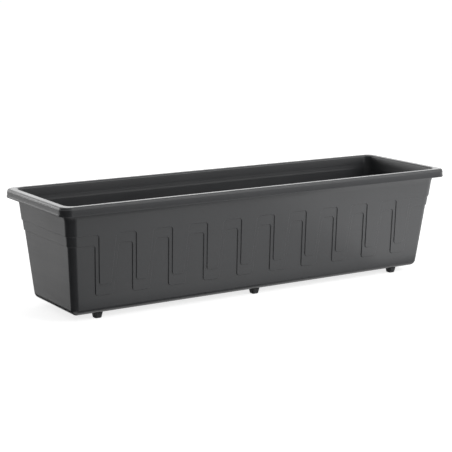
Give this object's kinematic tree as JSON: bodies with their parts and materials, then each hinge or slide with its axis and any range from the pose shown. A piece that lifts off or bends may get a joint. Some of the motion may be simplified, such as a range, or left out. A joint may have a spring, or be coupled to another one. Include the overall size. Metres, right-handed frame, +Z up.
{
  "type": "window box planter",
  "caption": "Long tapered plastic trough for plants, with a turned-down rim, a relief of hanging tongues, push-in feet and drain plugs.",
  "frame": {"origin": "on the ground, under the middle of the box", "axes": "+X along the length, +Y towards the back, +Z up"},
  "size_m": [0.602, 0.172, 0.1505],
  "materials": {
    "box": "anthracite polypropylene, satin as moulded",
    "foot": "anthracite polypropylene, satin",
    "plug": "black polyethylene, matt"
  },
  "bodies": {
    "box": {"planter_box": "box", "foot_front_left": "foot", "foot_front_middle": "foot", "foot_front_right": "foot", "foot_rear_left": "foot", "foot_rear_middle": "foot", "foot_rear_right": "foot"},
    "plug_1": {"drain_plug_1": "plug"},
    "plug_2": {"drain_plug_2": "plug"},
    "plug_3": {"drain_plug_3": "plug"},
    "plug_4": {"drain_plug_4": "plug"}
  },
  "joints": [
    {"name": "plug_1_pull", "type": "slide", "parent": "box", "child": "plug_1", "axis": [0, 0, 1], "range_m": [0, 0.15]},
    {"name": "plug_2_pull", "type": "slide", "parent": "box", "child": "plug_2", "axis": [0, 0, 1], "range_m": [0, 0.15]},
    {"name": "plug_3_pull", "type": "slide", "parent": "box", "child": "plug_3", "axis": [0, 0, 1], "range_m": [0, 0.15]},
    {"name": "plug_4_pull", "type": "slide", "parent": "box", "child": "plug_4", "axis": [0, 0, 1], "range_m": [0, 0.15]}
  ]
}
